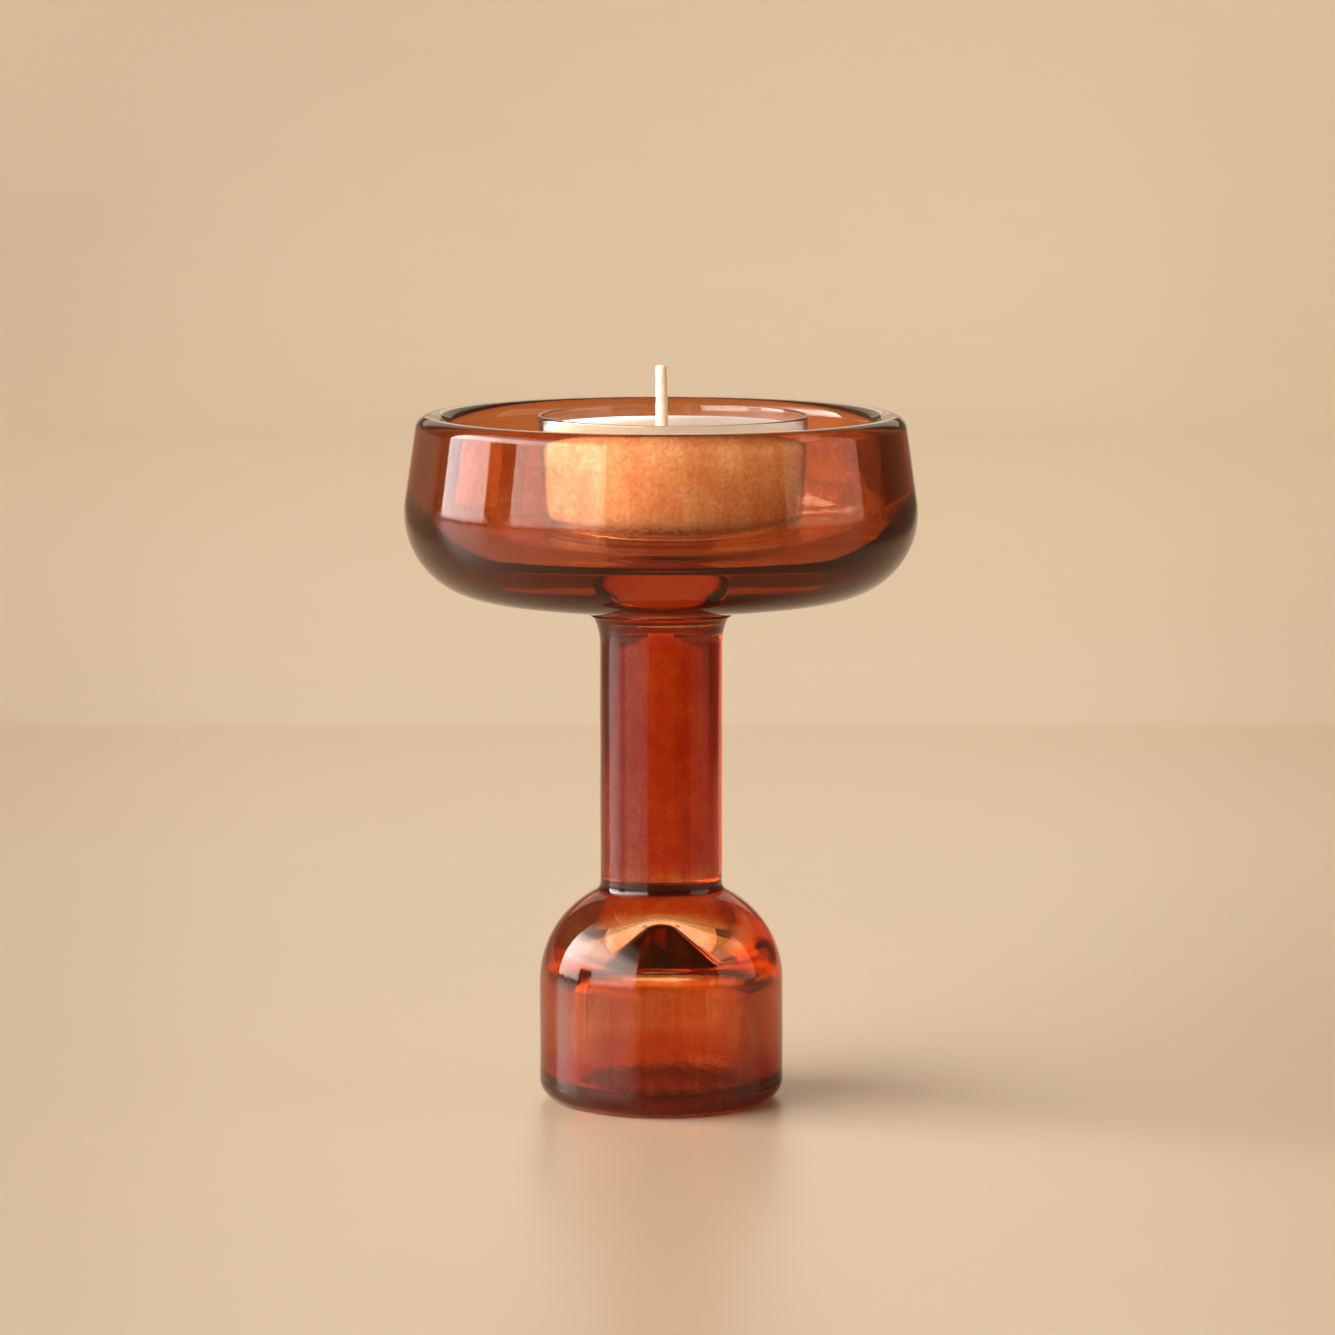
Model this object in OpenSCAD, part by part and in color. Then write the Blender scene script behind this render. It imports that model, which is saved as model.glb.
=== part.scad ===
// Tealight holder of stained glass: a round bowl with a thick bottom, bonded onto a solid stem that
// swells into a hollow domed foot. A tealight in a clear plastic cup stands loose in the bowl.
// Millimetres, +Z up, origin at the centre of the foot's underside.

/* [Bowl] */
// Height of the rim's crest above the table
bowl_top = 98; // [94:0.5:110]
// Largest outer radius of the bowl, at its belly
bowl_r = 36.4; // [33:0.1:45]
// Height of the belly above the table
belly_z = 84.2; // [82:0.1:88]
// Radius of the round corner between the wall and the underside
belly_round = 11.9; // [9:0.1:13.5]
// Radius of the slightly domed underside
underside_r = 159.5; // [120:0.5:240]
// Inward lean of the wall above the belly, in degrees
wall_lean = 8.3; // [3:0.1:12]
// Thickness of the wall, which ends in a full round at the rim
bowl_wall = 4.2; // [3.4:0.1:5]
// Height of the middle of the bowl's dished floor above the table
floor_z = 77.7; // [76:0.1:79]
// Radius of the shallow dish that the floor forms
dish_r = 170; // [140:5:260]
// Radius of the round corner between the floor and the wall
floor_round = 6.5; // [3:0.1:8]

/* [Bond] */
// Radius of the clear bond between the stem and the bowl
bond_r = 7.2; // [4:0.1:8]
// Thickness of the bond at its centre
bond_h = 0.4; // [0.3:0.05:1]

/* [Stem] */
// Radius of the stem
stem_r = 8.7; // [7.5:0.1:10]
// Radius of the flared lip at the top of the stem
lip_r = 10.1; // [9.5:0.1:11.5]
// Radius of the hollow curve that opens the stem into the lip
flare_round = 8.3; // [5:0.1:12]
// Radius that rounds off the lip's edge
lip_round = 0.35; // [0.2:0.05:0.6]
// Radius of the crease where the stem meets the dome
crease_round = 1.6; // [0.8:0.1:3]

/* [Foot] */
// Outer radius of the foot
foot_r = 17.4; // [16.5:0.1:20]
// Height at which the foot's side turns into the dome
dome_z = 17; // [15:0.1:20]
// Radius of the dome's round shoulder
dome_round = 14.5; // [13:0.1:15]
// Radius of the foot's bottom edge
foot_edge = 3; // [2:0.1:4]
// Thickness of the foot's side wall
foot_wall = 4.8; // [3:0.1:5.5]
// Thickness of the foot's bottom
foot_floor = 1.8; // [1.5:0.1:4]
// Radius of the corner between the hollow's floor and its side
hollow_edge = 2.5; // [1:0.1:4]
// Height of the top of the hollow inside the foot
hollow_top = 22.4; // [20:0.1:25]
// Radius of the hollow's rounded peak
hollow_peak = 8; // [3:0.1:9]
// Slope of the hollow's roof, in degrees from level
hollow_slope = 15; // [12:1:28]
// Radius between the hollow's roof and its side
hollow_shoulder = 4; // [2:0.1:7]
// Depth of the shallow dish in the foot's underside
punt_h = 0.8; // [0.3:0.05:1]
// Radius of the shallow dish in the foot's underside
punt_r = 8; // [6:0.1:12]

/* [Tealight cup] */
// Outer radius of the cup at its rim
cup_r = 19.15; // [18.5:0.05:20]
// Height of the cup
cup_h = 19.1; // [16:0.1:22]
// Draft of the cup's side, in degrees
cup_draft = 2.6; // [1:0.1:4]
// Thickness of the cup's side
cup_wall = 0.5; // [0.4:0.05:0.9]
// Thickness of the cup's bottom
cup_floor = 0.6; // [0.5:0.05:1]
// Height of the ring that the cup stands on
cup_ring_h = 1; // [0.5:0.1:1.5]
// Width of the ring that the cup stands on
cup_ring_w = 1.2; // [0.8:0.1:2]
// Distance of the cup's axis from the bowl's axis
cup_shift = 1.7; // [0:0.1:3]

/* [Candle] */
// Depth of the wax surface below the cup's rim
wax_drop = 2; // [1:0.1:5]
// Gap between the wax and the cup's side
wax_gap = 0.25; // [0.2:0.05:0.4]
// Height to which the wax climbs at its edge
wax_lip = 0.35; // [0.1:0.05:0.6]
// Radius of the wick
wick_r = 0.9; // [0.6:0.05:1.2]
// Length of the wick above the wax
wick_out = 9; // [4:0.5:12]
// Distance of the wick from the cup's axis
wick_shift = 1.6; // [0:0.1:2.5]

/* [Wick holder] */
// Radius of the round metal plate under the wick
plate_r = 6.4; // [5:0.1:8]
// Thickness of the plate and its tube
plate_t = 0.3; // [0.2:0.05:0.5]
// Height of the crimped tube that grips the wick
tube_h = 3; // [2:0.1:5]
// Radius of the pressed ring that stiffens the plate
bead_r = 4.4; // [3.5:0.1:5]

/* [Hidden] */
$fn = 180;
// Cuts run past the faces they open by this much
past = 1;

// Where the bowl's curves meet: the corner's centre, the underside's centre and the wall's foot
corner_r = bowl_r - belly_round;
underside_c = belly_z + sqrt(pow(underside_r - belly_round, 2) - pow(corner_r, 2));
corner_a = atan2(belly_z - underside_c, corner_r);
under_z = underside_c - underside_r;
wall_r = corner_r + belly_round * cos(wall_lean);
wall_z = belly_z + belly_round * sin(wall_lean);
// Centre of the rim's round, in the middle of the wall
rim_z = bowl_top - bowl_wall / 2;
rim_r = wall_r - (rim_z - wall_z) * tan(wall_lean) - bowl_wall / 2 / cos(wall_lean);
// Inside face of the wall at height z
function inside_r(z) = rim_r + (rim_z - z) * tan(wall_lean) - bowl_wall / 2 / cos(wall_lean);
// Centre of the floor's dish, and the line along which a round corner can lie against the leaning wall
dish_z = floor_z + dish_r;
lean_t = tan(wall_lean);
corner_line = inside_r(0) - floor_round / cos(wall_lean);
// Centre of the round corner, which touches the dish and the wall, and the angle where it meets the dish
floor_c_z = (corner_line * lean_t + dish_z - sqrt(pow(corner_line * lean_t + dish_z, 2)
    - (1 + lean_t * lean_t) * (pow(corner_line, 2) + pow(dish_z, 2) - pow(dish_r - floor_round, 2))))
    / (1 + lean_t * lean_t);
floor_c_r = corner_line - floor_c_z * lean_t;
dish_a = atan2(floor_c_z - dish_z, floor_c_r);

// The stem's top, a bond's thickness below the bowl
lip_z = under_z - bond_h;
// The flare's centre and the angle at which it reaches the lip
flare_c = stem_r + flare_round;
flare_a = acos((flare_c - lip_r + lip_round) / flare_round);
flare_z = lip_z - lip_round - flare_round * sin(flare_a);
// Centres of the dome's shoulder and of the crease above it
dome_c = foot_r - dome_round;
crease_c = stem_r + crease_round;
crease_z = dome_z + sqrt(pow(dome_round + crease_round, 2) - pow(crease_c - dome_c, 2));

// The hollow: a side, a shoulder, a straight roof and a rounded peak, each tangent to the next
hollow_r = foot_r - foot_wall;
peak_z = hollow_top - hollow_peak;
roof_run = hollow_r - hollow_shoulder;
shoulder_z = peak_z
    + (hollow_peak - hollow_shoulder - roof_run * sin(hollow_slope)) / cos(hollow_slope);

// Where the candle stands: the outer edge of its ring meets the dish on the side that it is shifted to
cup_foot_r = cup_r - cup_h * tan(cup_draft);
seat_gap = 0.01;
seat_z = dish_z - sqrt(pow(dish_r, 2) - pow(cup_foot_r + cup_shift, 2)) + seat_gap;
cup_top = seat_z + cup_h;
cup_in_z = seat_z + cup_ring_h + cup_floor;
wax_z = cup_top - wax_drop;
wick_x = cup_shift - wick_shift;
plate_z = cup_in_z;
// Radius of the cup's outside at height z
function cup_out_r(z) = cup_r - (cup_top - z) * tan(cup_draft);
function cup_in_r(z) = cup_out_r(z) - cup_wall;

// Points of an arc round [cx, cz], from angle a to angle b
function arc(cx, cz, r, a, b, n = 24) =
    [for (i = [0:n]) [cx + r * cos(a + (b - a) * i / n), cz + r * sin(a + (b - a) * i / n)]];

// Middle of the bowl's underside, where the bond lies
bond_a = -acos(bond_r / underside_r);
function bonded_underside() = arc(0, underside_c, underside_r, -90, bond_a, 4);

// Outside of the bowl, from the middle of the underside up the wall to the top of the rim
function bowl_outside() = concat(
    bonded_underside(),
    arc(0, underside_c, underside_r, bond_a, corner_a, 10),
    arc(corner_r, belly_z, belly_round, corner_a, wall_lean, 24),
    arc(rim_r, rim_z, bowl_wall / 2, wall_lean, 180 + wall_lean, 16));

// Inside of the bowl, from the rim down the wall and round the corner onto the dished floor
function bowl_inside() = concat(
    arc(floor_c_r, floor_c_z, floor_round, wall_lean, dish_a, 16),
    arc(0, dish_z, dish_r, dish_a, -90, 12));

// Thick pressed bowl, a full round at the rim and a solid bottom
module bowl() {
    color([0.72, 0.27, 0.12, 0.6])
        rotate_extrude()
            polygon(concat(bowl_outside(), bowl_inside()));
}

// Clear bond: a thin disc that fills the space between the flat lip and the domed underside
module bond() {
    color([0.95, 0.85, 0.75, 0.5])
        rotate_extrude()
            polygon(concat(bonded_underside(), [[bond_r, lip_z], [0, lip_z]]));
}

// Solid stem with a flared lip, running into the hollow domed foot
module pedestal() {
    color([0.66, 0.2, 0.06, 0.7])
        rotate_extrude()
            difference() {
                pedestal_outline();
                hollow_outline();
            }
}

module pedestal_outline() {
    punt_arc_r = (punt_r * punt_r + punt_h * punt_h) / (2 * punt_h);
    crease_a = atan2(crease_z - dome_z, crease_c - dome_c);
    polygon(concat(
        arc(0, punt_h - punt_arc_r, punt_arc_r, 90, 90 - asin(punt_r / punt_arc_r), 6),
        arc(foot_r - foot_edge, foot_edge, foot_edge, -90, 0, 12),
        arc(dome_c, dome_z, dome_round, 0, crease_a, 24),
        arc(crease_c, crease_z, crease_round, 180 + crease_a, 180, 8),
        arc(flare_c, flare_z, flare_round, 180, 180 - flare_a, 10),
        arc(lip_r - lip_round, lip_z - lip_round, lip_round, 0, 90, 4),
        [[0, lip_z]]));
}

module hollow_outline() {
    polygon(concat(
        [[0, foot_floor]],
        arc(hollow_r - hollow_edge, foot_floor + hollow_edge, hollow_edge, -90, 0, 8),
        arc(roof_run, shoulder_z, hollow_shoulder, 0, 90 - hollow_slope, 12),
        arc(0, peak_z, hollow_peak, 90 - hollow_slope, 90, 10)));
}

// Clear moulded cup, drafted, standing on a low ring
module tealight_cup() {
    color([0.95, 0.93, 0.9, 0.4])
        translate([cup_shift, 0, 0])
            rotate_extrude()
                polygon([
                    [0, seat_z + cup_ring_h],
                    [cup_foot_r - cup_ring_w, seat_z + cup_ring_h],
                    [cup_foot_r - cup_ring_w, seat_z],
                    [cup_foot_r, seat_z],
                    [cup_r, cup_top],
                    [cup_r - cup_wall, cup_top],
                    [cup_in_r(cup_in_z), cup_in_z],
                    [0, cup_in_z]
                ]);
}

// Poured wax, hollowed over the wick holder and bored for the wick, with a curled edge
module wax() {
    climb_z = wax_z + wax_lip;
    color([0.93, 0.84, 0.72])
        difference() {
            translate([cup_shift, 0, 0])
                rotate_extrude()
                    polygon([
                        [0, cup_in_z],
                        [cup_in_r(cup_in_z) - wax_gap, cup_in_z],
                        [cup_in_r(climb_z) - wax_gap, climb_z],
                        [cup_in_r(climb_z) - wax_gap - 2 * wax_lip, wax_z],
                        [0, wax_z]
                    ]);
            translate([wick_x, 0, 0])
                rotate_extrude()
                    holder_outline();
            translate([wick_x, 0, plate_z - past])
                cylinder(r = wick_r, h = cup_top - plate_z + past);
        }
}

// Pressed tin plate with a stiffening ring and a tube that grips the wick
module wick_holder() {
    color([0.75, 0.75, 0.76])
        translate([wick_x, 0, 0])
            rotate_extrude()
                difference() {
                    holder_outline();
                    translate([0, plate_z - past])
                        square([wick_r, tube_h + 2 * past]);
                }
}

module holder_outline() {
    translate([0, plate_z])
        square([plate_r, plate_t]);
    translate([0, plate_z])
        square([wick_r + plate_t, tube_h]);
    translate([bead_r, plate_z + plate_t])
        intersection() {
            circle(r = plate_t, $fn = 24);
            translate([-plate_t, 0])
                square([2 * plate_t, plate_t]);
        }
}

// Braided wick, from the bottom of the cup up through the wax
module wick() {
    color([0.96, 0.88, 0.72])
        translate([wick_x, 0, plate_z])
            cylinder(r = wick_r, h = wax_z + wick_out - plate_z, $fn = 48);
}

bowl();
bond();
pedestal();
tealight_cup();
wax();
wick_holder();
wick();
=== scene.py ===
import bpy
import numpy as np
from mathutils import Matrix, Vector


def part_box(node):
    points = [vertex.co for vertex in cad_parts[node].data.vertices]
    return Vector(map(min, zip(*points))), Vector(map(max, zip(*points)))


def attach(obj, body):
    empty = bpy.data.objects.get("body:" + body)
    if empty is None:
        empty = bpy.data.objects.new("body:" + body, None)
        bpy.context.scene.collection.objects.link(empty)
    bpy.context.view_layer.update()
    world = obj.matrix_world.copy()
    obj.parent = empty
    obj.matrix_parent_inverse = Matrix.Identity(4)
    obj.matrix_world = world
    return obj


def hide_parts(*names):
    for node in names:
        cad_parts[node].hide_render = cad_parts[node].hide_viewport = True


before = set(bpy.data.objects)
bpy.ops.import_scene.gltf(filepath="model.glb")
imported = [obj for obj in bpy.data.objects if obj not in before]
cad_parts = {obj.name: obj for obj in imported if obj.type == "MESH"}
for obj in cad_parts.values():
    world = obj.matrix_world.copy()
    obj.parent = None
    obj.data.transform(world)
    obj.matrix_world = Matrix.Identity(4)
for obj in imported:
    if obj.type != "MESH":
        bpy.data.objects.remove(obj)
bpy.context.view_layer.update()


# Pedestal: one piece of pressed glass, a solid stem that swells into a domed foot with a sealed hollow.
# The glass is clear. An orange-brown stain is painted on its outside and fired, so the colour lies only
# in the outer skin, and the inner faces and the patch bonded to the bowl stay bare.
foot_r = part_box("pedestal")[1].x
lip_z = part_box("pedestal")[1].z
foot_edge = 0.003
punt_r, punt_h = 0.008, 0.0008
dome_z, dome_round = 0.017, 0.0145
stem_r, crease_round = 0.0087, 0.0016
lip_r, lip_round, flare_round = 0.0101, 0.00035, 0.0083
hollow_r, hollow_floor, hollow_edge = 0.0126, 0.0018, 0.0025
hollow_top, hollow_peak, hollow_slope, hollow_shoulder = 0.0224, 0.008, 15, 0.004
bond_r = 0.0072
# Small steps between an arc and the straight after it, outside and inside, and beside the bond's edge
nick, inner_nick, seam = 0.0005, 0.0003, 0.00002


def bend(centre_r, centre_z, radius, start, end, steps):
    """Points of an arc in the (r, z) plane: centre + radius (cos a, sin a), a from start to end in degrees."""
    a = np.radians(np.linspace(start, end, steps))
    return np.column_stack([centre_r + radius * np.cos(a), centre_z + radius * np.sin(a)])


def level(start_r, end_r, z, steps):
    """Points of a level line in the (r, z) plane, from start_r to end_r at height z."""
    return np.column_stack([np.linspace(start_r, end_r, steps), np.full(steps, z)])


def upright(r, start_z, end_z, steps):
    """Points of an upright line in the (r, z) plane, from start_z to end_z at radius r."""
    return np.column_stack([np.full(steps, r), np.linspace(start_z, end_z, steps)])


def closed_tube(start, rings, end):
    """Points and faces of a tube through the rings, an array of (ring, place on it, xyz), closed by a fan
    of triangles to the start point and another to the end point."""
    grid = 1 + np.arange(rings[..., 0].size).reshape(rings.shape[:2])
    ahead = np.roll(grid, -1, 1)
    sides = np.stack([grid[:-1], ahead[:-1], ahead[1:], grid[1:]], -1).reshape(-1, 4)
    first = np.stack([0 * grid[0], ahead[0], grid[0]], -1)
    last = np.stack([grid[-1], ahead[-1], 0 * grid[0] + grid.size + 1], -1)
    points = np.vstack([start, rings.reshape(-1, 3), end])
    return points, sides.tolist() + first.tolist() + last.tolist()


def turned(outline, skin, turns=288, sway=0.00005, phase=0.0, calm_r=0.004):
    """Surface of revolution closed on its axis: point (i, j) = (r cos t, r sin t, z_i), t = 2 pi j / turns,
    where r = r_i less sway (1 + sin(2 t + 190 z + phase) sin(3 t - 260 z + 2 phase)) / 2, the slight
    unevenness that the glass keeps from the mould. It dies away within calm_r of the axis. Returns points,
    faces and each point's skin."""
    t = 2 * np.pi * np.arange(turns) / turns
    rows, heights = outline[1:-1, :1], outline[1:-1, 1:]
    wave = (1 + np.sin(2 * t + 190 * heights + phase) * np.sin(3 * t - 260 * heights + 2 * phase)) / 2
    radii = rows - sway * np.minimum(1, rows / calm_r) * wave
    rings = np.stack([radii * np.cos(t), radii * np.sin(t), heights + 0 * radii], -1)
    skins = np.concatenate([skin[:1], np.repeat(skin[1:-1], turns), skin[-1:]])
    return *closed_tube([0, 0, outline[0, 1]], rings, [0, 0, outline[-1, 1]]), skins


def closed_piece(name, shells, **masks):
    """One smooth mesh object from shells of (points, faces, skin). Each mask is a function of the points
    that becomes a point attribute of its name, beside the attribute skin."""
    points, faces, skins, start = [], [], [], 0
    for shell_points, shell_faces, shell_skin in shells:
        points.append(shell_points)
        faces += [[corner + start for corner in face] for face in shell_faces]
        skins.append(shell_skin)
        start += len(shell_points)
    points = np.vstack(points)
    mesh = bpy.data.meshes.new(name)
    mesh.from_pydata(points, [], faces)
    mesh.shade_smooth()
    values = {"skin": np.concatenate(skins), **{key: mask(points) for key, mask in masks.items()}}
    for key, value in values.items():
        mesh.attributes.new(key, "FLOAT", "POINT").data.foreach_set("value", value.astype(np.float32))
    piece = bpy.data.objects.new(name, mesh)
    bpy.context.scene.collection.objects.link(piece)
    return piece


punt_arc = (punt_r**2 + punt_h**2) / (2 * punt_h)
dome_c, crease_c = foot_r - dome_round, stem_r + crease_round
crease_z = dome_z + np.sqrt((dome_round + crease_round) ** 2 - (crease_c - dome_c) ** 2)
crease_a = np.degrees(np.arctan2(crease_z - dome_z, crease_c - dome_c))
flare_a = np.degrees(np.arccos((stem_r + flare_round - lip_r + lip_round) / flare_round))
flare_z = lip_z - lip_round - flare_round * np.sin(np.radians(flare_a))
pedestal_outside = np.vstack([
    bend(0, punt_h - punt_arc, punt_arc, 90, 90.1 - np.degrees(np.arcsin(punt_r / punt_arc)), 12),
    level(punt_r, foot_r - foot_edge, 0, 8),
    bend(foot_r - foot_edge, foot_edge, foot_edge, -88, 0, 20),
    upright(foot_r, foot_edge + nick, dome_z - nick, 24),
    bend(dome_c, dome_z, dome_round, 0, crease_a, 48),
    bend(crease_c, crease_z, crease_round, 178 + crease_a, 180, 14),
    upright(stem_r, crease_z + nick, flare_z - nick, 60),
    bend(stem_r + flare_round, flare_z, flare_round, 180, 180 - flare_a, 24),
    bend(lip_r - lip_round, lip_z - lip_round, lip_round, 4, 90, 8),
    level(lip_r - 2 * lip_round, bond_r + seam, lip_z, 8),
    level(bond_r - seam, 0, lip_z, 8),
])
peak_z = hollow_top - hollow_peak
slope = np.radians(hollow_slope)
shoulder_r = hollow_r - hollow_shoulder
shoulder_z = peak_z + (hollow_peak - hollow_shoulder - shoulder_r * np.sin(slope)) / np.cos(slope)
hollow_inside = np.vstack([
    bend(0, peak_z, hollow_peak, 90, 90 - hollow_slope, 12),
    bend(shoulder_r, shoulder_z, hollow_shoulder, 90 - hollow_slope, 0, 20),
    upright(hollow_r, shoulder_z - inner_nick, hollow_floor + hollow_edge + inner_nick, 16),
    bend(hollow_r - hollow_edge, hollow_floor + hollow_edge, hollow_edge, 0, -90, 12),
    level(hollow_r - hollow_edge - inner_nick, 0, hollow_floor, 10),
])


def bonded(points):
    """1 on the bare patch under the bond: within bond_r of the axis, between the lip and the bowl's underside."""
    x, y, z = points.T
    below, above = 0.0005, 0.003
    near_bond = (z > lip_z - below) & (z < lip_z + above)
    return ((np.hypot(x, y) < bond_r) & near_bond).astype(float)


pedestal = closed_piece("pedestal_glass", [
    turned(pedestal_outside, np.ones(len(pedestal_outside)), phase=0.4),
    turned(hollow_inside, np.zeros(len(hollow_inside)), sway=0.00012, phase=2.1),
], contact=bonded)
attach(pedestal, "holder")
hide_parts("pedestal")


def feed(tree, node, inputs):
    """Gives a node its inputs. A socket is linked, and a plain value is set on the node's own socket."""
    for key, value in inputs.items():
        if isinstance(value, bpy.types.NodeSocket):
            tree.links.new(value, node.inputs[key])
        else:
            node.inputs[key].default_value = value


def wired(tree, kind, inputs=None, **settings):
    """A new shader node of that kind, with its settings and its inputs."""
    made = tree.nodes.new("ShaderNode" + kind)
    for key, value in settings.items():
        setattr(made, key, value)
    feed(tree, made, inputs or {})
    return made


def maths(tree, operation, *values):
    """The result of one arithmetic operation on numbers or sockets."""
    return wired(tree, "Math", dict(enumerate(values)), operation=operation).outputs[0]


def together(tree, operation, values):
    """The values taken together two at a time: their sum, product or maximum."""
    total, *others = values
    for value in others:
        total = maths(tree, operation, total, value)
    return total


def eased(tree, value, start, end, low, high, curve="LINEAR"):
    """low where the value is start, high where it is end, between them along the curve, and held beyond."""
    inputs = {0: value, 1: start, 2: end, 3: low, 4: high}
    return wired(tree, "MapRange", inputs, interpolation_type=curve).outputs[0]


def close_to(tree, value, centre, reach, curve="SMOOTHSTEP"):
    """A mask of 1 where the value is at the centre, falling to 0 over the reach on both sides."""
    off = maths(tree, "ABSOLUTE", maths(tree, "SUBTRACT", value, centre))
    return eased(tree, off, 0.0, reach, 1.0, 0.0, curve)


def noise(tree, place, scale, detail=2, roughness=0.5):
    """Fractal noise about 0.5 with that many features to the metre."""
    inputs = {"Vector": place, "Scale": scale, "Detail": detail, "Roughness": roughness}
    return wired(tree, "TexNoise", inputs).outputs[0]


def mixed(tree, share, first, second):
    """The first colour where the share is 0 and the second where it is 1."""
    ends = [colour if isinstance(colour, bpy.types.NodeSocket) else (*colour, 1) for colour in (first, second)]
    return wired(tree, "Mix", {0: share, 6: ends[0], 7: ends[1]}, data_type="RGBA").outputs[2]


def relief(tree, height, depth, strength):
    """The normal of a surface that rises by the height times the depth."""
    return wired(tree, "Bump", {"Strength": strength, "Distance": depth, "Height": height}).outputs[0]


def place_on(tree):
    """The point's place in the object's own frame, in metres."""
    return wired(tree, "TexCoord").outputs["Object"]


def xyz(tree):
    """The point's X, Y and Z in the object's own frame, in metres."""
    return wired(tree, "SeparateXYZ", {0: place_on(tree)}).outputs


def marked(tree, name):
    """The point attribute of that name."""
    return wired(tree, "Attribute", attribute_name=name).outputs["Fac"]


def new_material(name):
    """A new material, its node tree and its Principled shader."""
    made = bpy.data.materials.new(name)
    made.use_nodes = True
    return made, made.node_tree, made.node_tree.nodes["Principled BSDF"]


def film_group():
    """Group of the fired stain. Film is how thick it lies, 1 on average: grain, clouds and runs vary it, and the
    thinning input thins it, also where thin stain paints highlights. Tint is Hue to the power of Film x Depth, as
    a dye deepens with its thickness. Cover is how much of the coat's tint stays. Height is the unevenness of
    the glass, and Chill masks wrinkled glass."""
    tree = bpy.data.node_groups.new("stain_film", "ShaderNodeTree")
    tree.interface.new_socket("Hue", in_out="INPUT", socket_type="NodeSocketColor")
    for name in ("Depth", "Grain", "Clouds", "Runs", "Thinned", "Chill"):
        tree.interface.new_socket(name, in_out="INPUT", socket_type="NodeSocketFloat")
    tree.interface.new_socket("Tint", in_out="OUTPUT", socket_type="NodeSocketColor")
    for name in ("Cover", "Height"):
        tree.interface.new_socket(name, in_out="OUTPUT", socket_type="NodeSocketFloat")
    entry, leave = tree.nodes.new("NodeGroupInput").outputs, tree.nodes.new("NodeGroupOutput")
    place = place_on(tree)
    drawn_down = wired(tree, "Mapping", {"Vector": place, "Scale": (1, 1, 0.07)}).outputs[0]
    grain = noise(tree, place, 1900, 3, 0.7)
    clouds = noise(tree, place, 190, 5, 0.62)
    runs = noise(tree, drawn_down, 520, 4, 0.6)
    film = 1.0
    for texture, amount in ((grain, "Grain"), (clouds, "Clouds"), (runs, "Runs")):
        swing = eased(tree, texture, 0.25, 0.75, -1.0, 1.0)
        film = maths(tree, "MULTIPLY_ADD", swing, entry[amount], film)
    held = wired(tree, "Clamp", {"Value": film, "Min": 0.15, "Max": 2.0}).outputs[0]
    patchy = eased(tree, grain, 0.38, 0.62, 0.65, 1.0)
    thinned = maths(tree, "MULTIPLY", entry["Thinned"], patchy)
    film_lost, cover_lost = 0.85, 0.6
    left = maths(tree, "MULTIPLY_ADD", thinned, -film_lost, 1.0)
    cover = maths(tree, "MULTIPLY_ADD", thinned, -cover_lost, 1.0)
    power = maths(tree, "MULTIPLY", maths(tree, "MULTIPLY", held, left), entry["Depth"])
    hue = wired(tree, "SeparateColor", {0: entry["Hue"]}).outputs
    tint = wired(tree, "CombineColor", {key: maths(tree, "POWER", part, power) for key, part in enumerate(hue)})
    ripple, ripple_share = noise(tree, place, 330), 0.12
    wrinkle = maths(tree, "MULTIPLY", noise(tree, place, 900, 4, 0.65), entry["Chill"])
    height = maths(tree, "MULTIPLY_ADD", ripple, ripple_share, wrinkle)
    feed(tree, leave, {"Tint": tint.outputs[0], "Cover": cover, "Height": height})
    return tree


stain_film = film_group()
# Share of the stain's tint that light takes on as it enters; the rest is taken on as it leaves
entry_share = 0.8


def bare(tree):
    """No mask: 0 all over."""
    return 0.0


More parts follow.
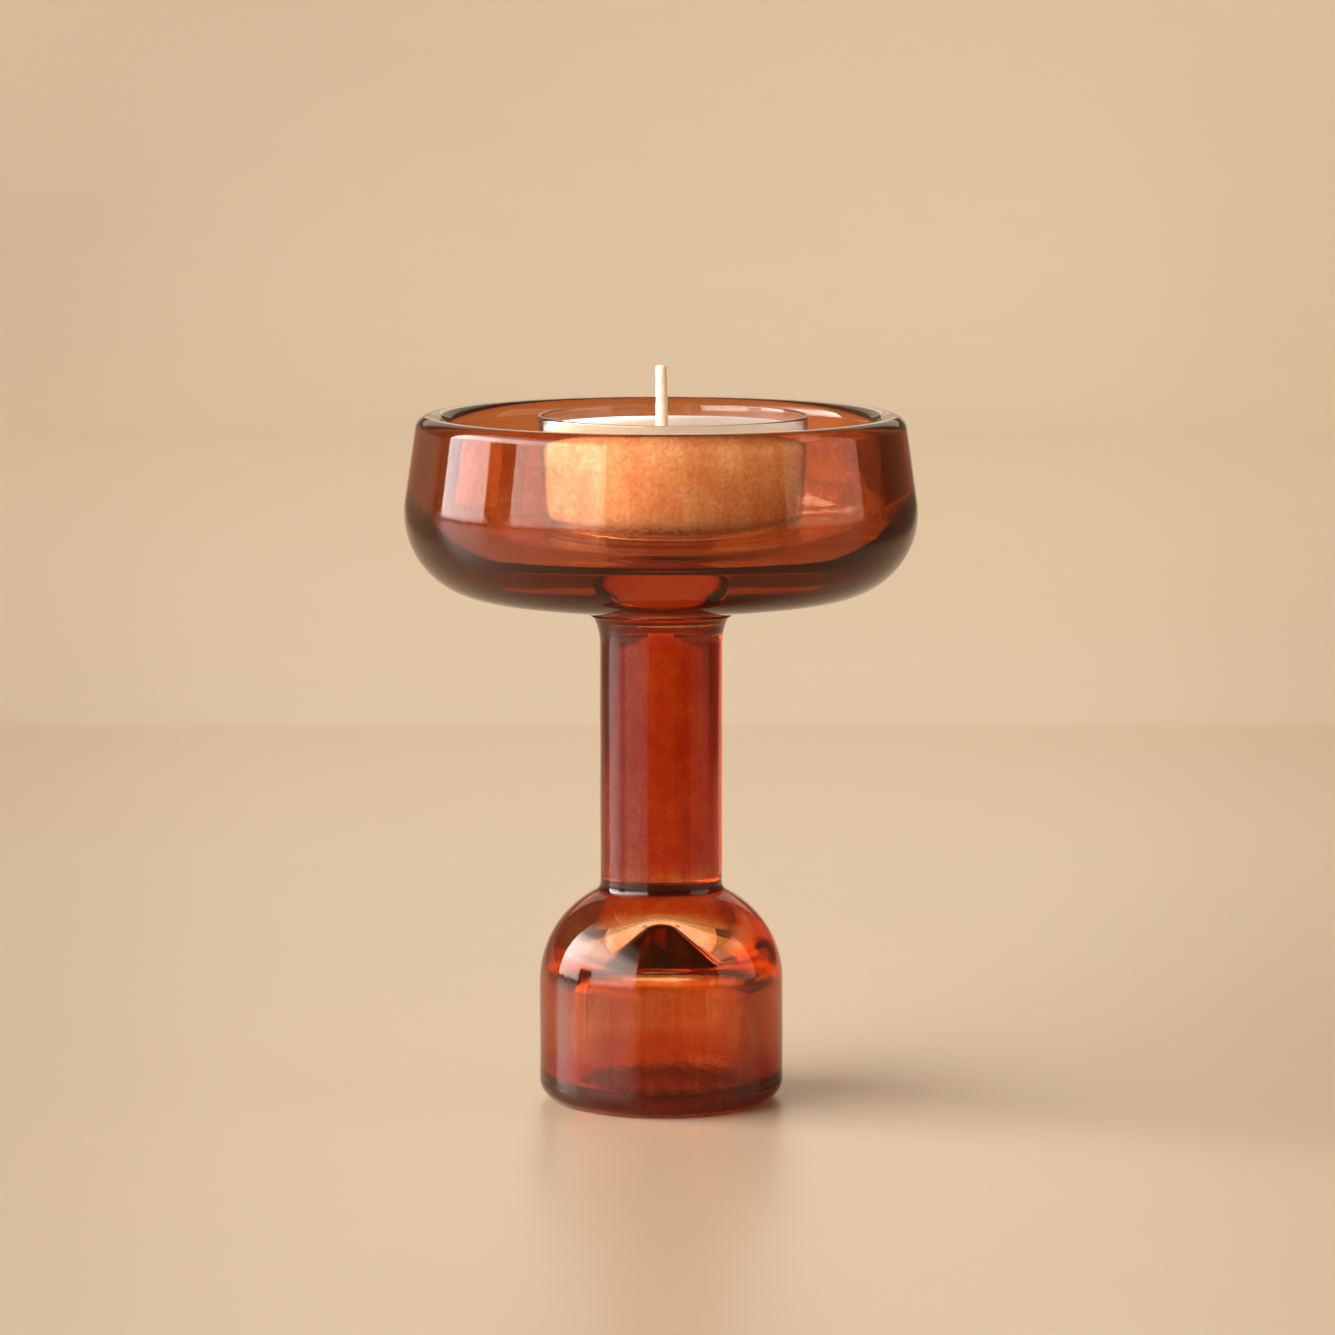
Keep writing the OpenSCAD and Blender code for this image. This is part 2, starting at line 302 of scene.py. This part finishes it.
def stained_glass(name, hue, grain, clouds, runs, chill, thinned=bare, clear=0.0, haze=bare):
    """Material of clear glass with a fired stain on its skin. hue is the tint of one pass through the skin.
    Light is tinted by the base colour as it enters, and by the coat as it leaves or is thrown back inside.
    The stain looks deeper where it is seen edge on. chill(tree), the thinning function and haze(tree) give the
    masks of wrinkled glass and of thin stain, which also paints highlights, and the roughness. clear is the
    share of the lamps' light that passes straight through the skin, and three times that passes through bare
    glass."""
    made, tree, glass = new_material(name)
    edge = wired(tree, "LayerWeight", {"Blend": 0.5}).outputs["Facing"]
    edge_power, edge_depth = 5.0, 2.0
    depth = maths(tree, "MULTIPLY_ADD", maths(tree, "POWER", edge, edge_power), edge_depth, 2 * entry_share)
    film = wired(tree, "Group", {
        "Hue": (*hue, 1), "Depth": depth, "Grain": grain, "Clouds": clouds, "Runs": runs,
        "Thinned": thinned(tree), "Chill": chill(tree),
    }, node_tree=stain_film).outputs
    skin = marked(tree, "skin")
    inside = wired(tree, "NewGeometry").outputs["Backfacing"]
    faced = mixed(tree, inside, film["Tint"], (1, 1, 1))
    behind = maths(tree, "MULTIPLY", skin, inside)
    to_lamp = wired(tree, "LightPath").outputs["Is Shadow Ray"]
    passed = eased(tree, skin, 0.0, 1.0, min(1.0, clear * 3), clear)
    lost = maths(tree, "MAXIMUM", maths(tree, "MULTIPLY", to_lamp, passed), marked(tree, "contact"))
    feed(tree, glass, {
        "Base Color": mixed(tree, skin, (1, 1, 1), faced),
        "Roughness": haze(tree),
        "IOR": 1.5,
        "Transmission Weight": 1.0,
        "Specular Tint": (0.64, 0.58, 0.5, 1),
        "Coat Weight": maths(tree, "MULTIPLY", behind, film["Cover"]),
        "Coat Roughness": 0.0,
        "Coat IOR": 1.5,
        "Coat Tint": (*np.array(hue) ** (2 - entry_share), 1),
        "Sheen Weight": 0.03,
        "Sheen Roughness": 0.8,
        "Sheen Tint": (1.0, 0.42, 0.14, 1),
        "Alpha": maths(tree, "SUBTRACT", 1.0, lost),
        "Normal": relief(tree, film["Height"], depth=0.00004, strength=1.0),
    })
    return made


def foot_chill(tree):
    """Wrinkled glass where the foot's side meets its dome, half as deep in the crease above the dome, and
    twice as deep in the lower part of the sealed hollow, which no tool has touched."""
    z = xyz(tree)["Z"]
    shoulder = close_to(tree, z, dome_z + 0.0015, 0.0022)
    crease = maths(tree, "MULTIPLY", close_to(tree, z, crease_z, 0.0014), 0.5)
    bare_glass = maths(tree, "SUBTRACT", 1.0, marked(tree, "skin"))
    hollow = maths(tree, "MULTIPLY", bare_glass, eased(tree, z, 0.012, 0.016, 2.0, 0.0))
    return together(tree, "ADD", (shoulder, crease, hollow))


def floor_haze(tree):
    """Roughness of the bare glass in the bottom of the hollow, which was closed over heat."""
    low = eased(tree, xyz(tree)["Z"], 0.0025, 0.009, 0.35, 0.0)
    return maths(tree, "MULTIPLY", low, maths(tree, "SUBTRACT", 1.0, marked(tree, "skin")))


def streak(tree, azimuth, low, high, width):
    """A mask of 1 along an upright, slightly wavy run of that half width, between two heights. The azimuth
    turns from -Y towards -X, in degrees."""
    a = np.radians(azimuth)
    place, (x, y, z) = place_on(tree), xyz(tree)
    across, outward = (
        wired(tree, "VectorMath", {0: place, 1: (*way, 0)}, operation="DOT_PRODUCT").outputs["Value"]
        for way in ((-np.cos(a), np.sin(a)), (-np.sin(a), -np.cos(a)))
    )
    wander = 0.0016
    wavy = maths(tree, "MULTIPLY_ADD", noise(tree, place, 240), wander, across)
    return together(tree, "MULTIPLY", (
        close_to(tree, wavy, wander / 2, width),
        eased(tree, outward, 0.008, 0.012, 0.0, 1.0),
        eased(tree, z, low - 0.001, low + 0.002, 0.0, 1.0),
        eased(tree, z, high, high + 0.0005, 1.0, 0.0),
    ))


def dome_wiped(tree):
    """Thin stain in two soft ovals with ragged edges, one on the front of the dome about 24 mm up and one on
    its back about 27 mm up. An oval's value falls from 1 to 0 as the distance
    sqrt(((x - shift) / wide)^2 + ((z - centre) / tall)^2) goes from 0.6 to 1.5. Three fine runs lie on the
    front of the foot. The stain is thick at the foot's edge, thin on its side, and plain on the stem."""
    place, (x, y, z) = place_on(tree), xyz(tree)
    ragged = noise(tree, place, 420, 4, 0.65)
    ovals = 0.0
    for side, shift, centre, wide, tall in (
        (-1, -0.0018, 0.0240, 0.0125, 0.0048),
        (1, 0.0, 0.0272, 0.0095, 0.0044),
    ):
        spread = wired(tree, "Mapping", {
            "Vector": place, "Location": (-shift / wide, 0, -centre / tall), "Scale": (1 / wide, 0, 1 / tall),
        }).outputs[0]
        away = wired(tree, "VectorMath", {0: spread}, operation="LENGTH").outputs["Value"]
        torn = maths(tree, "MULTIPLY_ADD", ragged, 0.2, away)
        oval = eased(tree, torn, 0.6, 1.5, 1.0, 0.0, "SMOOTHSTEP")
        ovals = maths(tree, "MULTIPLY_ADD", oval, eased(tree, y, 0.0, side * 0.003, 0.0, 1.0), ovals)
    foot = eased(tree, z, 0.001, 0.008, -1.3, 0.38)
    stem = eased(tree, z, 0.014, 0.026, 0.0, -0.4)
    runs = [streak(tree, azimuth, low, high, width) for azimuth, low, high, width in (
        (38.5, 0.0076, 0.0197, 0.0005),
        (21.4, 0.0046, 0.0088, 0.0004),
        (-22.0, 0.0135, 0.0172, 0.0002),
    )]
    return together(tree, "MAXIMUM", (ovals, *runs, maths(tree, "ADD", foot, stem)))


pedestal.data.materials.append(stained_glass(
    "pedestal_stained_glass", hue=(0.70, 0.18, 0.022), grain=0.25, clouds=0.5, runs=0.4,
    chill=foot_chill, thinned=dome_wiped, haze=floor_haze))


# Bond: a disc of clear adhesive between the stem's flat lip and the bowl's slightly domed underside.
# It is squeezed flat while liquid and set by light. Its two faces are in optical contact with the bare
# glass above and below, so only its rim shows.
bowl_low, bowl_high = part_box("bowl")
bowl_r, bowl_top = bowl_high.x, bowl_high.z
belly_z, belly_round, underside_r = 0.0842, 0.0119, 0.1595
corner_r = bowl_r - belly_round
underside_c = belly_z + np.sqrt((underside_r - belly_round) ** 2 - corner_r**2)
bond_a = -np.degrees(np.arccos(bond_r / underside_r))
bond_outline = np.vstack([
    level(0, bond_r - seam, lip_z, 6),
    upright(bond_r, lip_z, underside_c - underside_r + 0.00012, 5),
    bend(0, underside_c, underside_r, bond_a, -90, 6),
])
bond = closed_piece("bond_disc", [turned(bond_outline, np.zeros(len(bond_outline)), sway=0)], contact=bonded)
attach(bond, "holder")
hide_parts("bond")
adhesive, tree, shader = new_material("clear_adhesive")
cloudy = noise(tree, place_on(tree), 900)
feed(tree, shader, {
    "Base Color": mixed(tree, cloudy, (0.97, 0.9, 0.82), (0.86, 0.76, 0.64)),
    "Roughness": 0.1,
    "Transmission Weight": 1.0,
    "Alpha": maths(tree, "SUBTRACT", 1.0, marked(tree, "contact")),
})
bond.data.materials.append(adhesive)


# Bowl: thick pressed glass with a full round rim, a wall that leans inwards and a thick solid bottom.
# It is stained on the outside as the pedestal is, from the underside to the crest of the rim, and the
# inside is bare clear glass.
wall_lean, bowl_wall = 8.3, 0.0042
floor_z, dish_r, floor_round = 0.0777, 0.17, 0.0065
lean = np.radians(wall_lean)
corner_a = np.degrees(np.arctan2(belly_z - underside_c, corner_r))
wall_r = corner_r + belly_round * np.cos(lean)
wall_z = belly_z + belly_round * np.sin(lean)
rim_round = bowl_wall / 2
rim_z = bowl_top - rim_round
rim_r = wall_r - (rim_z - wall_z) * np.tan(lean) - rim_round / np.cos(lean)


def inside_r(z):
    """Radius of the bowl's inner face at height z: a cone parallel to the wall's outer face."""
    return rim_r + (rim_z - z) * np.tan(lean) - rim_round / np.cos(lean)


def outside_r(z):
    """Radius of the bowl's outer face at height z, above the belly."""
    return inside_r(z) + bowl_wall / np.cos(lean)


def wall_run(start_z, end_z, radius_at, steps):
    """Points of a straight leaning wall in the (r, z) plane, from start_z to end_z."""
    z = np.linspace(start_z, end_z, steps)
    return np.column_stack([radius_at(z), z])


# The round corner's centre lies a corner's radius in from the wall and from the floor's dish.
dish_z = floor_z + dish_r
corner_line = inside_r(0) - floor_round / np.cos(lean)
half = corner_line * np.tan(lean) + dish_z
reach = corner_line**2 + dish_z**2 - (dish_r - floor_round) ** 2
floor_c_z = (half - np.sqrt(half**2 - reach / np.cos(lean) ** 2)) * np.cos(lean) ** 2
floor_c_r = corner_line - floor_c_z * np.tan(lean)
dish_a = np.degrees(np.arctan2(floor_c_z - dish_z, floor_c_r))
bowl_outside = np.vstack([
    bend(0, underside_c, underside_r, -90, bond_a - 0.02, 8),
    bend(0, underside_c, underside_r, bond_a + 0.02, corner_a, 40),
    bend(corner_r, belly_z, belly_round, corner_a + 1, wall_lean, 56),
    wall_run(wall_z + inner_nick, rim_z - inner_nick, outside_r, 24),
    bend(rim_r, rim_z, rim_round, wall_lean, 90, 20),
])
bowl_inside = np.vstack([
    bend(rim_r, rim_z, rim_round, 94, 180 + wall_lean, 20),
    wall_run(rim_z - 0.0006, floor_c_z + floor_round * np.sin(lean) + 0.0004, inside_r, 20),
    bend(floor_c_r, floor_c_z, floor_round, wall_lean, dish_a, 40),
    bend(0, dish_z, dish_r, dish_a - 0.15, -90, 60),
])
bowl_skin = np.concatenate([np.ones(len(bowl_outside)), np.zeros(len(bowl_inside))])
bowl = closed_piece("bowl_glass", [
    turned(np.vstack([bowl_outside, bowl_inside]), bowl_skin, turns=320, sway=0.00006, phase=1.2),
], contact=bonded)
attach(bowl, "holder")
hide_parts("bowl")


def belly_chill(tree):
    """Wrinkled glass in a narrow band where the wall meets the belly."""
    return close_to(tree, xyz(tree)["Z"], wall_z - 0.0006, 0.0016)


def bowl_painted_highlights(tree):
    """Painted highlights round the front of the bowl's right side, made as thin lines in the stain: a broken
    line just under the belly, and a finer one that carries on from its end a little higher. They tilt and
    shake slightly."""
    place, (x, y, z) = place_on(tree), xyz(tree)
    broken = noise(tree, place, 330, 5, 0.7)
    tilted = maths(tree, "MULTIPLY_ADD", x, -0.035, z)
    shaken = maths(tree, "MULTIPLY_ADD", broken, 0.0012, tilted)
    front = eased(tree, y, -0.006, 0.0, 1.0, 0.0)
    gaps = eased(tree, broken, 0.42, 0.55, 0.1, 1.0)
    return together(tree, "ADD", [together(tree, "MULTIPLY", (
        close_to(tree, shaken, centre, width, "LINEAR"),
        eased(tree, x, start, start + 0.003, 0.0, 1.0),
        eased(tree, x, end - 0.002, end, 1.0, 0.0),
        front,
        gaps,
    )) for centre, width, start, end in (
        (0.0828, 0.00018, 0.006, 0.029),
        (0.0836, 0.00014, 0.029, 0.034),
    )])


# The bowl's thin lines of stain under the belly are painted highlights.
bowl.data.materials.append(stained_glass(
    "bowl_stained_glass", hue=(0.68, 0.29, 0.13), grain=0.32, clouds=0.3, runs=0.2,
    chill=belly_chill, thinned=bowl_painted_highlights, clear=0.7))


# Tealight cup: a thin drafted cup moulded in clear plastic, standing on a low ring.
# It stands loose in the dish of the bowl's floor, a little to the right of the bowl's axis.
cup_low, cup_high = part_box("tealight_cup")
cup_x = (cup_low.x + cup_high.x) / 2
cup_r, cup_top, seat_z = cup_high.x - cup_x, cup_high.z, cup_low.z
cup_wall, cup_floor, cup_ring_h, cup_ring_w = 0.0005, 0.0006, 0.001, 0.0012
draft = np.tan(np.radians(2.6))
ring_round, heel_round, cup_corner = 0.0002, 0.0004, 0.0006


def cup_out_r(z):
    """Radius of the cup's outside at height z: a cone that opens upwards."""
    return cup_r - (cup_top - z) * draft


def cup_in_r(z):
    """Radius of the cup's inside at height z."""
    return cup_out_r(z) - cup_wall


ring_r = cup_out_r(seat_z)
ring_in_r, ring_top = ring_r - cup_ring_w, seat_z + cup_ring_h
cup_in_z = ring_top + cup_floor
cup_outline = np.vstack([
    level(0, ring_in_r - ring_round, ring_top, 12),
    [[ring_in_r - 0.00004, ring_top - 0.00006],
     [ring_in_r, ring_top - ring_round],
     [ring_in_r, seat_z + 0.0003]],
    bend(ring_r - cup_ring_w / 2, seat_z + ring_round, ring_round, -110, -70, 5),
    bend(ring_r - heel_round, seat_z + heel_round, heel_round, -60, 0, 6),
    wall_run(seat_z + 2 * heel_round, cup_top - heel_round, cup_out_r, 20),
    bend(cup_r - cup_wall / 2, cup_top - cup_wall / 2, cup_wall / 2, 10, 170, 10),
    wall_run(cup_top - cup_wall, cup_in_z + 0.001, cup_in_r, 20),
    bend(cup_in_r(cup_in_z) - cup_corner, cup_in_z + cup_corner, cup_corner, 0, -80, 8),
    level(cup_in_r(cup_in_z) - 0.0009, 0, cup_in_z, 12),
])


def moved(shell, x):
    """The shell of points, faces and skin, moved by x along X."""
    return shell[0] + [x, 0, 0], shell[1], shell[2]


cup = closed_piece("clear_cup", [
    moved(turned(cup_outline, np.zeros(len(cup_outline)), turns=256, sway=0.00001), cup_x),
])
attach(cup, "tealight")
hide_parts("tealight_cup")
plastic, tree, shader = new_material("clear_moulded_plastic")
scuffs = noise(tree, place_on(tree), 420, 4, 0.65)
feed(tree, shader, {
    "Base Color": mixed(tree, scuffs, (0.99, 0.98, 0.96), (0.93, 0.91, 0.87)),
    "Roughness": eased(tree, scuffs, 0.35, 0.7, 0.03, 0.14),
    "IOR": 1.49,
    "Transmission Weight": 1.0,
    "Alpha": eased(tree, wired(tree, "LightPath").outputs["Is Shadow Ray"], 0.0, 1.0, 1.0, 0.1),
})
cup.data.materials.append(plastic)


# Wick holder: a round plate of tinned steel with a pressed ring and a tube crimped round the wick.
# It is stamped from thin sheet and lies on the cup's floor under the wax.
tin, tree, shader = new_material("tinned_steel")
drawn = wired(tree, "Mapping", {"Vector": place_on(tree), "Scale": (1, 14, 1)}).outputs[0]
lines = noise(tree, drawn, 700, 4, 0.6)
feed(tree, shader, {
    "Base Color": mixed(tree, lines, (0.62, 0.61, 0.6), (0.78, 0.77, 0.76)),
    "Metallic": 1.0,
    "Roughness": eased(tree, lines, 0.3, 0.7, 0.22, 0.42),
})
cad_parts["wick_holder"].data.materials.clear()
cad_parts["wick_holder"].data.materials.append(tin)


# Wax: a white candle poured into the cup over the wick holder, with an edge that creeps up the plastic,
# a low mound round the wick and a surface that set slightly uneven.
wax_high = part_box("wax")[1].z
wick_low, wick_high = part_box("wick")
wick_x, wick_r, wick_top = (wick_low.x + wick_high.x) / 2, (wick_high.x - wick_low.x) / 2, wick_high.z
wax_gap, wax_lip, wax_corner = 0.00025, 0.00035, 0.0006
wax_z = wax_high - wax_lip
plate_r, plate_t = 0.0064, 0.0003
mound_h, mound_r, wave_h = 0.00045, 0.0016, 0.00004


def wax_r(z):
    """Radius of the wax at height z: the cup's inside less the gap."""
    return cup_in_r(z) - wax_gap


creep = np.linspace(0.95, 0, 12)
wax_outline = np.vstack([
    level(0, wax_r(cup_in_z) - 0.0007, cup_in_z, 60),
    bend(wax_r(cup_in_z) - wax_corner, cup_in_z + wax_corner, wax_corner, -80, 0, 8),
    wall_run(cup_in_z + 0.001, wax_high - 0.0001, wax_r, 28),
    [[wax_r(wax_high) - 0.00008, wax_high]],
    np.column_stack([wax_r(wax_high) - np.linspace(0.00016, 0.0016, 12), wax_z + wax_lip * creep**2]),
    level(wax_r(wax_high) - 0.0019, 0, wax_z, 40),
])
wax_points, wax_faces, wax_skin = moved(
    turned(wax_outline, np.zeros(len(wax_outline)), turns=224, sway=0.00003), cup_x)


def set_wax(points):
    """The poured wax: the bottom is raised by plate_t over the plate, and the top gains a mound
    mound_h exp(-(d / mound_r)^2) at distance d from the wick and long low waves."""
    x, y, z = points.T
    away = np.hypot(x - wick_x, y)
    over_plate = np.clip((plate_r + 0.00025 - away) / 0.0002, 0, 1) * (plate_t + 0.00002)
    waves = wave_h * np.sin(520 * x + 1.1) * np.sin(430 * y + 260 * x) - wave_h
    mound = mound_h * np.exp(-((away / mound_r) ** 2))
    on_top = np.clip((z - wax_z + 0.0002) / 0.0002, 0, 1) * (z < wax_z + 0.0003)
    on_bottom = z < cup_in_z + 0.00001
    return np.column_stack([x, y, z + on_bottom * over_plate + on_top * (waves + mound)])


wax = closed_piece("poured_wax", [(set_wax(wax_points), wax_faces, wax_skin)])
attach(wax, "candle")
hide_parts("wax")
paraffin, tree, shader = new_material("paraffin_wax")
place, (x, y, z) = place_on(tree), xyz(tree)
frost = noise(tree, place, 240, 6, 0.6)
milky = mixed(tree, frost, (0.68, 0.46, 0.29), (0.74, 0.52, 0.34))
# Painted shade: the top face of the wax is coloured darker than its sides, to offset the stronger light falling
# on it.
painted_top_shade = eased(tree, z, wax_z - 0.0012, wax_z - 0.0002, 0.0, 1.0)
feed(tree, shader, {
    "Base Color": mixed(tree, painted_top_shade, milky, (0.42, 0.31, 0.21)),
    "Roughness": eased(tree, frost, 0.3, 0.7, 0.42, 0.6),
    "IOR": 1.44,
    "Specular IOR Level": 0.25,
    "Subsurface Weight": 1.0,
    "Subsurface Radius": (1.0, 0.9, 0.8),
    "Subsurface Scale": 0.05,
    "Normal": relief(tree, noise(tree, place, 1900, 3, 0.6), depth=0.00005, strength=0.4),
})
wax.data.materials.append(paraffin)


# Wick: braided cotton dipped in wax, standing up from the middle of the candle.
# It leans slightly and thins at its cut end.
braid_turns, braid_rise = 3, 0.0026
wick_start, wick_lean = wax_z - 0.002, 0.0001
wick_steps, wick_sides = 150, 48


def braided(s, t):
    """The wick at height fraction s and angle t: centre line (-lean s^2, 0, z) and radius
    wick_r (0.93 + 0.07 |sin(3 t / 2 + q)|^0.6 |sin(3 t / 2 - q)|^0.6) (1 - 0.1 s), q = pi z / rise, rounded
    at the tip."""
    z = wick_start + s * (wick_top - wick_start)
    q = np.pi * z / braid_rise
    plait = np.abs(np.sin(braid_turns * t / 2 + q)) ** 0.6 * np.abs(np.sin(braid_turns * t / 2 - q)) ** 0.6
    tip = np.sqrt(np.clip(1 - np.clip((s - 0.97) / 0.03, 0, 1) ** 2 * 0.9, 0, 1))
    r = wick_r * (0.93 + 0.07 * plait) * tip * (1 - 0.1 * s)
    return np.stack([wick_x + r * np.cos(t) - wick_lean * s**2, r * np.sin(t), z + 0 * r], -1)


s, t = np.meshgrid(
    np.linspace(0, 1, wick_steps), 2 * np.pi * np.arange(wick_sides) / wick_sides, indexing="ij")
strands = braided(s, t)
wick_points, wick_faces = closed_tube(strands[0].mean(0), strands, strands[-1].mean(0))
wick = closed_piece("braided_wick", [(wick_points, wick_faces, np.zeros(len(wick_points)))])
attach(wick, "candle")
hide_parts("wick")
cotton, tree, shader = new_material("waxed_cotton")
fibres = noise(tree, place_on(tree), 3000, 5, 0.7)
feed(tree, shader, {
    "Base Color": mixed(tree, fibres, (0.92, 0.72, 0.47), (0.98, 0.84, 0.62)),
    "Roughness": 0.7,
    "Subsurface Weight": 0.3,
    "Subsurface Scale": 0.001,
    "Normal": relief(tree, fibres, depth=0.00008, strength=0.6),
})
wick.data.materials.append(cotton)


# Table and backdrop: one sheet of pale beige card that runs level under the holder and sweeps up behind
# it, with a faint line of painted shade across it. Its tone carries painted light and shade: lighter towards
# the right and further back, and darker where it sweeps up, which evens out how the lamps fall on it. It is
# slightly glossy at low angles, and it is painted dark beyond a strip under and behind the holder, so that
# the glass has dark edges.
card_start, bend_y, bend_r, card_side = -3.0, 1.1, 0.7, 4
card_drop = 0.00003
rise = np.linspace(0.02, 0.873, 44)
sweep = np.vstack([
    np.column_stack([np.linspace(card_start, bend_y, 30), np.zeros(30)]),
    np.column_stack([bend_y + bend_r * np.sin(rise), bend_r - bend_r * np.cos(rise)]),
])
across = np.linspace(-card_side, card_side, 9)
card_points = np.stack(np.broadcast_arrays(across[None, :], sweep[:, :1], sweep[:, 1:] - card_drop), -1)
card_points = card_points.reshape(-1, 3)
grid = np.arange(len(card_points)).reshape(len(sweep), len(across))
card_faces = np.stack([grid[:-1, :-1], grid[:-1, 1:], grid[1:, 1:], grid[1:, :-1]], -1).reshape(-1, 4).tolist()
card = closed_piece("backdrop_card", [(card_points, card_faces, np.zeros(len(card_points)))])
paper, tree, shader = new_material("beige_card")
place, (x, y, z) = place_on(tree), xyz(tree)
# The paper's tooth, plus painted light: the card's tone rises towards the right, away from the window on the
# left.
tooth_and_painted_light = maths(tree, "MULTIPLY_ADD", noise(tree, place, 40, 5), 0.06, eased(tree, x, -0.25, 0.35, 0.05, 0.86))
# Painted light and shade: lighter further back, and darker where the card sweeps up and faces the window.
painted_far_light = eased(tree, y, 0.0, 1.05, -0.10, 0.36, "SMOOTHSTEP")
painted_rise_shade = eased(tree, y, 1.02, 1.5, 0.0, -0.56, "SMOOTHSTEP")
tone_and_painted_light = together(tree, "ADD", (tooth_and_painted_light, painted_far_light, painted_rise_shade))
beige = mixed(tree, tone_and_painted_light, (0.386, 0.30, 0.196), (0.607, 0.47, 0.308))
# A faint line of painted shade across the card, a little behind the holder.
shade_line_y, shade_line_in_front, shade_line_behind = 0.384, 0.164, 0.018
nearing = eased(tree, y, shade_line_y - shade_line_in_front, shade_line_y, 0.0, 1.0)
past = eased(tree, y, shade_line_y, shade_line_y + shade_line_behind, 1.0, 0.0, "SMOOTHSTEP")
shaded = wired(tree, "VectorMath", {0: beige, 1: (0.94, 0.89, 0.86)}, operation="MULTIPLY").outputs[0]
beige = mixed(tree, maths(tree, "MULTIPLY", nearing, past), beige, shaded)
aside = maths(tree, "MULTIPLY_ADD", y, -0.085, maths(tree, "ABSOLUTE", x))
beyond = eased(tree, aside, 0.18, 0.30, 0.0, 1.0, "SMOOTHSTEP")
before = eased(tree, y, -0.17, -0.32, 0.0, 1.0, "SMOOTHSTEP")
feed(tree, shader, {
    "Base Color": mixed(tree, maths(tree, "MAXIMUM", beyond, before), beige, (0.16, 0.12, 0.075)),
    "Roughness": 0.37,
})
card.data.materials.append(paper)


# Light: a tall window far to the left with a dark bar in it, a weaker glow from the right, two pale
# panels behind and above the card's far edge, and the dim room. Camera: a long lens a little above the
# rim, looking slightly down.
def window(name, centre, azimuth, width, height, radiance, colour, shade, sides=(1.0, 1.0)):
    """A rectangular area light of that radiance that stands upright at the centre and shines away from that
    azimuth, which turns from -Y towards -X: power = pi x radiance x area. shade is a list of pairs, the
    height in the light from 0 to 1 and the share of the radiance there, and it starts with the bottom and
    the top. sides gives the share at the light's two sides."""
    lamp = bpy.data.lights.new(name, "AREA")
    lamp.shape, lamp.size, lamp.size_y = "RECTANGLE", width, height
    lamp.energy, lamp.color = np.pi * radiance * width * height, colour
    lamp.use_nodes = True
    tree = lamp.node_tree
    within = wired(tree, "SeparateXYZ", {0: wired(tree, "NewGeometry").outputs["Parametric"]}).outputs
    blind = wired(tree, "ValToRGB", {0: within["Y"]})
    for index, (at, share) in enumerate(shade):
        stop = blind.color_ramp.elements[index] if index < 2 else blind.color_ramp.elements.new(at)
        stop.position, stop.color = at, (share, share, share, 1)
    even = eased(tree, within["X"], 0.0, 1.0, *sides)
    drawn = wired(tree, "VectorMath", {0: blind.outputs[0], 3: even}, operation="SCALE").outputs[0]
    feed(tree, tree.nodes["Emission"], {"Color": drawn})
    made = bpy.data.objects.new(name, lamp)
    bpy.context.scene.collection.objects.link(made)
    made.location = centre
    made.rotation_euler = (np.radians(90), 0, np.radians(-azimuth))
    return made


window_azimuth, window_distance = 70, 2.0
window_way = np.radians(window_azimuth)
out = np.array([-np.sin(window_way), -np.cos(window_way), 0])
along = np.array([-np.cos(window_way), np.sin(window_way), 0])
sill, head = 0.14, 3.0
overcast, lamplight = (0.98, 0.93, 0.95), (1.0, 0.86, 0.66)
daylight = [(0.0, 0.5), (1.0, 0.0), (0.12, 0.6), (0.2, 1.0), (0.42, 1.0), (0.6, 0.25)]
for name, start, end, radiance, sides in (
    ("window_near", -2.0, 0.02, 14.4, (1.0, 0.5)),
    ("window_far", 0.56, 2.0, 17.3, (1.0, 1.0)),
):
    centre = out * window_distance + along * (start + end) / 2 + np.array([0, 0, (sill + head) / 2])
    window(name, centre, window_azimuth, end - start, head - sill, radiance, overcast, daylight, sides)
above_bar = out * window_distance + along * 0.29 + np.array([0, 0, 1.75])
window("window_above", above_bar, window_azimuth, 0.54, 2.5, 14.4, overcast,
       [(0.0, 0.3), (1.0, 0.0), (0.08, 1.0), (0.34, 1.0), (0.54, 0.25)])
window("room_glow", (1.9, -0.4, 0.8), -88, 1.6, 1.4, 1.8, (1.0, 0.86, 0.7), [(0.0, 1.0), (1.0, 1.0)])
window("back_wall", (0, 1.8, 0.95), 180, 1.8, 1.0, 0.65, lamplight, [(0.0, 1.0), (1.0, 1.0)])
window("back_glow", (0, 1.79, 0.77), 180, 0.5, 1.04, 1.0, lamplight, [(0.0, 0.8), (1.0, 1.0)])
world = bpy.data.worlds.new("dim_room")
bpy.context.scene.world = world
world.use_nodes = True
feed(world.node_tree, world.node_tree.nodes["Background"], {"Color": (0.5, 0.38, 0.25, 1), "Strength": 0.3})

camera = bpy.data.objects.new("camera", bpy.data.cameras.new("camera"))
bpy.context.scene.collection.objects.link(camera)
camera.data.lens = 152.7
camera.data.clip_start, camera.data.clip_end = 0.01, 50
camera.location = (0.0009, -0.7978, 0.1634)
camera.rotation_euler = (np.radians(90 - 7.245), 0, 0)
bpy.context.scene.camera = camera
bpy.context.scene.view_settings.view_transform = "Standard"
